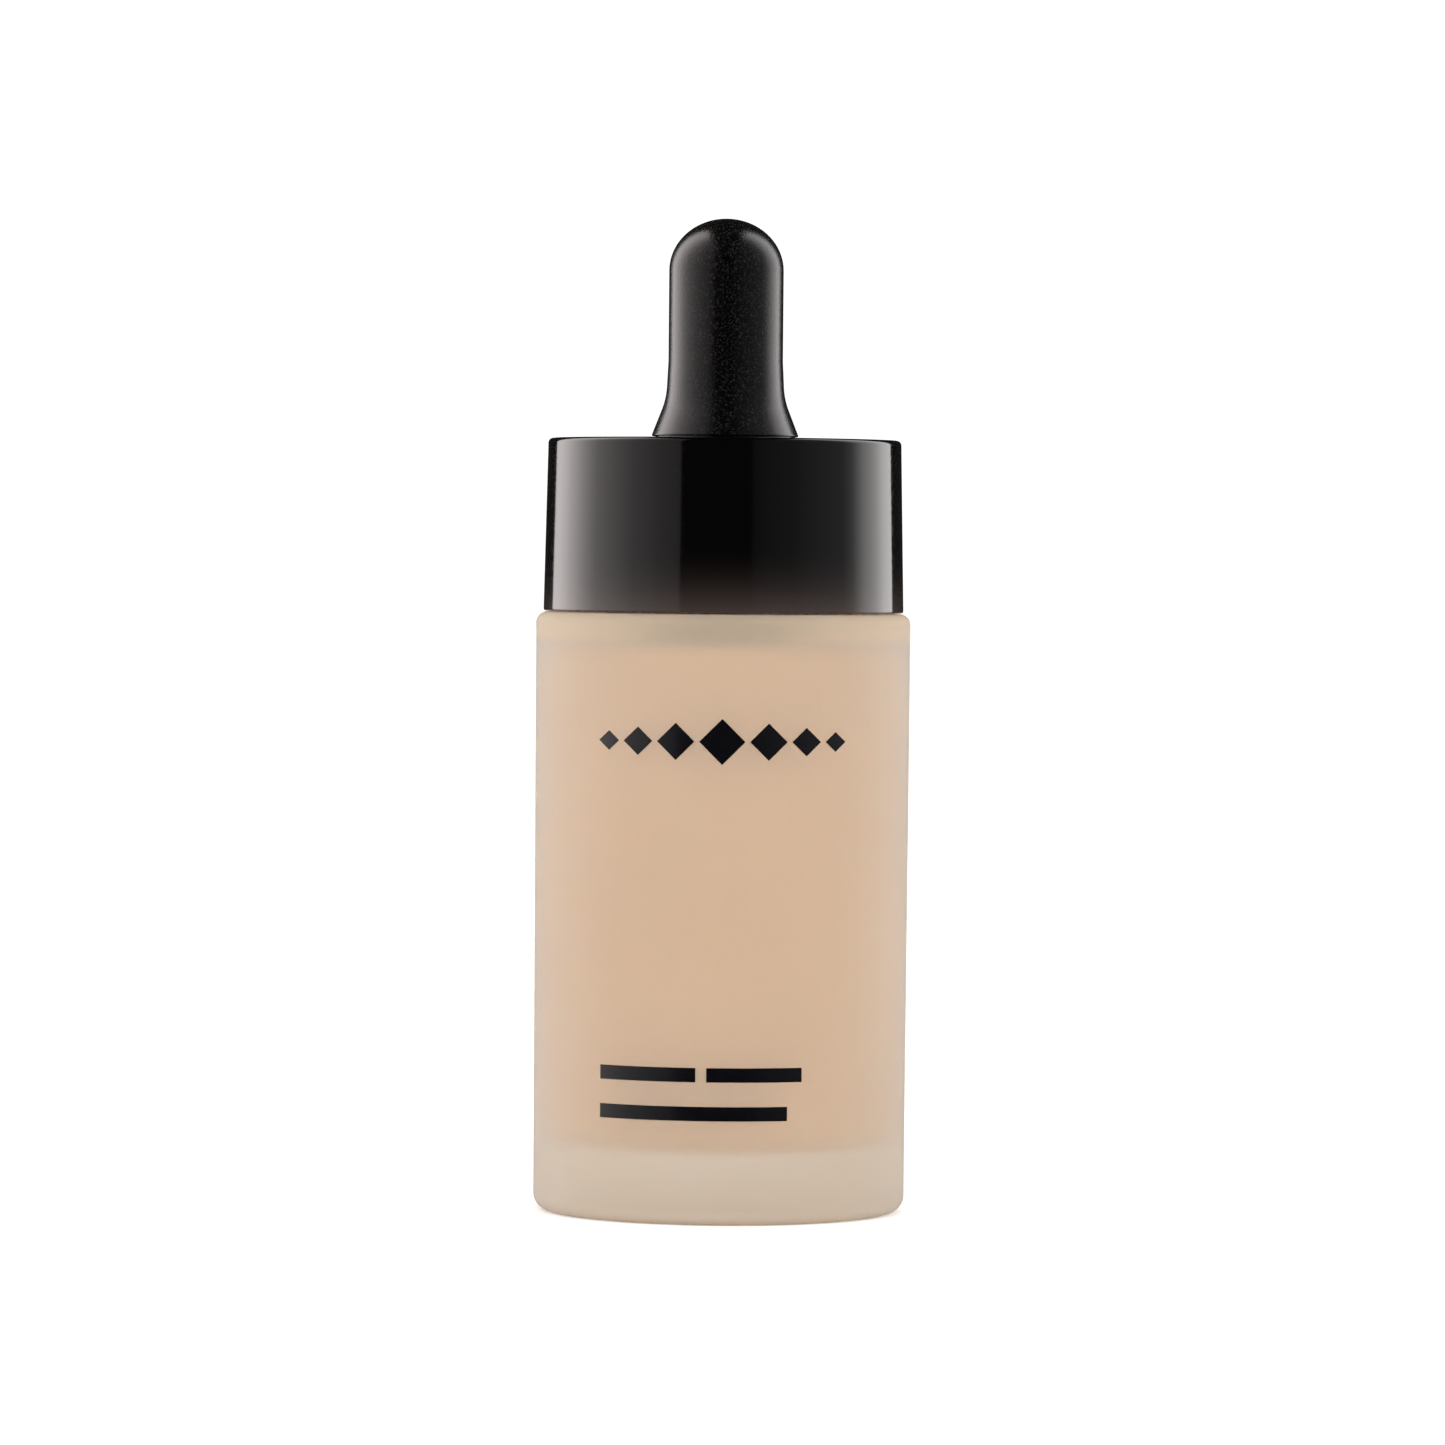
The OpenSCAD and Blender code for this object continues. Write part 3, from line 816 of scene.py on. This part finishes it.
# ------------------------------------------------------------------ studio
def make_floor():
    """A white floor that runs on out of view."""
    bpy.ops.object.select_all(action="DESELECT")
    bpy.ops.mesh.primitive_plane_add(size=12)
    floor = bpy.context.object
    floor.name = "studio_floor"
    floor.visible_glossy = False
    material = bpy.data.materials.new("studio_floor")
    material.use_nodes = True
    shader = material.node_tree.nodes["Principled BSDF"]
    shader.inputs["Base Color"].default_value = (0.85, 0.85, 0.85, 1)
    shader.inputs["Roughness"].default_value = 0.9
    shader.inputs["Specular IOR Level"].default_value = 0.0
    shader.inputs["Emission Color"].default_value = (1, 1, 1, 1)
    shader.inputs["Emission Strength"].default_value = 0.25
    floor.data.materials.append(material)


def seen_in_gloss(nodes, link):
    """1 where a surface reflects the light, 0 where it only lights things or shines through."""
    path = nodes.new("ShaderNodeLightPath")
    seen = nodes.new("ShaderNodeMath")
    seen.operation = "SUBTRACT"
    seen.use_clamp = True
    link(path.outputs["Is Glossy Ray"], seen.inputs[0])
    link(path.outputs["Is Transmission Ray"], seen.inputs[1])
    return seen.outputs["Value"]


def make_light_wall(name, x, near, far, tint, stops):
    """An upright card beside the object that only reflections see, dimmer low down.

    Each stop is (place, brightness), from 0 at the end near the camera to 1 at the far end."""
    bpy.ops.object.select_all(action="DESELECT")
    bpy.ops.mesh.primitive_plane_add(size=1)
    wall = bpy.context.object
    wall.name = name
    wall.scale = (far - near, WALL_HIGH - WALL_LOW, 1)
    wall.rotation_euler = (math.pi / 2, 0, math.pi / 2)
    wall.location = (x, (near + far) / 2, (WALL_LOW + WALL_HIGH) / 2)
    bpy.ops.object.transform_apply(location=True, rotation=True, scale=True)
    wall.visible_camera = False
    wall.visible_diffuse = False
    wall.visible_transmission = False
    wall.visible_shadow = False
    material = bpy.data.materials.new(name)
    material.use_nodes = True
    nodes, link = material.node_tree.nodes, material.node_tree.links.new
    nodes.clear()
    place = nodes.new("ShaderNodeTexCoord").outputs["Object"]
    split = nodes.new("ShaderNodeSeparateXYZ")
    link(place, split.inputs["Vector"])
    along = nodes.new("ShaderNodeMapRange")
    along.inputs["From Min"].default_value = near
    along.inputs["From Max"].default_value = far
    link(split.outputs["Y"], along.inputs["Value"])
    ramp = nodes.new("ShaderNodeValToRGB")
    points = ramp.color_ramp.elements
    while len(points) < len(stops):
        points.new(0.5)
    brightest = max(value for _, value in stops)
    for point, (where, value) in zip(points, stops):
        point.position = where
        point.color = (*(value / brightest * part for part in tint), 1)
    link(along.outputs["Result"], ramp.inputs["Fac"])
    light = nodes.new("ShaderNodeEmission")
    link(ramp.outputs["Color"], light.inputs["Color"])
    upright = nodes.new("ShaderNodeMapRange")
    upright.inputs["From Min"].default_value = WALL_DIM_Z
    upright.inputs["From Max"].default_value = WALL_FULL_Z
    upright.inputs["To Min"].default_value = brightest * WALL_DIM
    upright.inputs["To Max"].default_value = brightest
    link(split.outputs["Z"], upright.inputs["Value"])
    link(upright.outputs["Result"], light.inputs["Strength"])
    put = nodes.new("ShaderNodeOutputMaterial")
    link(light.outputs["Emission"], put.inputs["Surface"])
    material.cycles.emission_sampling = "NONE"
    wall.data.materials.append(material)


def make_world():
    """A white room that fills in from all round, and that polished pieces reflect as dark."""
    world = bpy.data.worlds.new("studio")
    bpy.context.scene.world = world
    world.use_nodes = True
    world.cycles.sampling_method = "NONE"
    nodes, link = world.node_tree.nodes, world.node_tree.links.new
    nodes.clear()
    room = nodes.new("ShaderNodeBackground")
    room.inputs["Color"].default_value = (1, 1, 1, 1)
    room.inputs["Strength"].default_value = 1.1
    dark = nodes.new("ShaderNodeBackground")
    dark.inputs["Color"].default_value = (1, 0.95, 0.92, 1)
    dark.inputs["Strength"].default_value = 0.02
    mix = nodes.new("ShaderNodeMixShader")
    link(seen_in_gloss(nodes, link), mix.inputs["Fac"])
    link(room.outputs["Background"], mix.inputs[1])
    link(dark.outputs["Background"], mix.inputs[2])
    put = nodes.new("ShaderNodeOutputWorld")
    link(mix.outputs["Shader"], put.inputs["Surface"])


def make_softbox(name, place, energy):
    """A large soft light beside the camera that leaves no highlight of its own."""
    bpy.ops.object.light_add(type="AREA", location=place)
    light = bpy.context.object
    light.name = name
    away = Vector(place) - Vector(SOFTBOX_AIM)
    light.rotation_euler = away.to_track_quat("Z", "Y").to_euler()
    light.data.shape = "RECTANGLE"
    light.data.size = SOFTBOX_SIZE
    light.data.size_y = SOFTBOX_SIZE
    light.data.energy = energy
    light.visible_glossy = False
    light.visible_camera = False


def make_camera():
    """A long lens level with the collar, tipped slightly down and barely off the level."""
    distance, height = 0.669, 0.0626
    tip, roll = 0.02536, 0.0089
    data = bpy.data.cameras.new("camera")
    data.sensor_width = 36.0
    data.lens = 178.2
    data.clip_start = 0.01
    camera = bpy.data.objects.new("camera", data)
    bpy.context.collection.objects.link(camera)
    ahead = Vector((0, math.cos(tip), -math.sin(tip)))
    right = Vector((1, 0, 0))
    up = right.cross(ahead)
    side = math.cos(roll) * right + math.sin(roll) * up
    above = math.cos(roll) * up - math.sin(roll) * right
    turn = Matrix((side, above, -ahead)).transposed().to_4x4()
    camera.matrix_world = Matrix.Translation((0, -distance, height)) @ turn
    bpy.context.scene.camera = camera


# ------------------------------------------------------------------ assembly
bpy.context.scene.view_settings.view_transform = "Standard"

liquid = foundation_liquid()
ink = print_ink()
bottle = make_bottle()
make_foundation(liquid)
make_wiper()
make_emblem(bottle, ink)
make_lines(bottle, ink)
make_collar()
make_bulb()
make_pipette()
make_drawn_up(liquid)
finish_screw_cap()

make_floor()
make_light_wall("left_light_wall", -0.45, -0.85, 0.555, (1, 0.93, 0.92),
                [(0, 0.38), (0.24, 0.52), (0.415, 0.85), (0.514, 1.4), (0.6, 1.95), (0.66, 2.9),
                 (0.72, 3.7), (0.8, 4.0), (0.88, 3.6), (1, 2.5)])
make_light_wall("right_light_wall", 0.45, -1.4, 0.475, (1, 0.98, 0.97),
                [(0, 0.07), (0.5, 0.16), (0.71, 0.36), (0.745, 0.7), (0.79, 2.1), (0.9, 3.6),
                 (1, 3.0)])
make_softbox("left_softbox", (-0.64, -0.7, 0.7), 3.7)
make_softbox("right_softbox", (0.8, -0.5, 0.7), 3.4)
make_world()
make_camera()
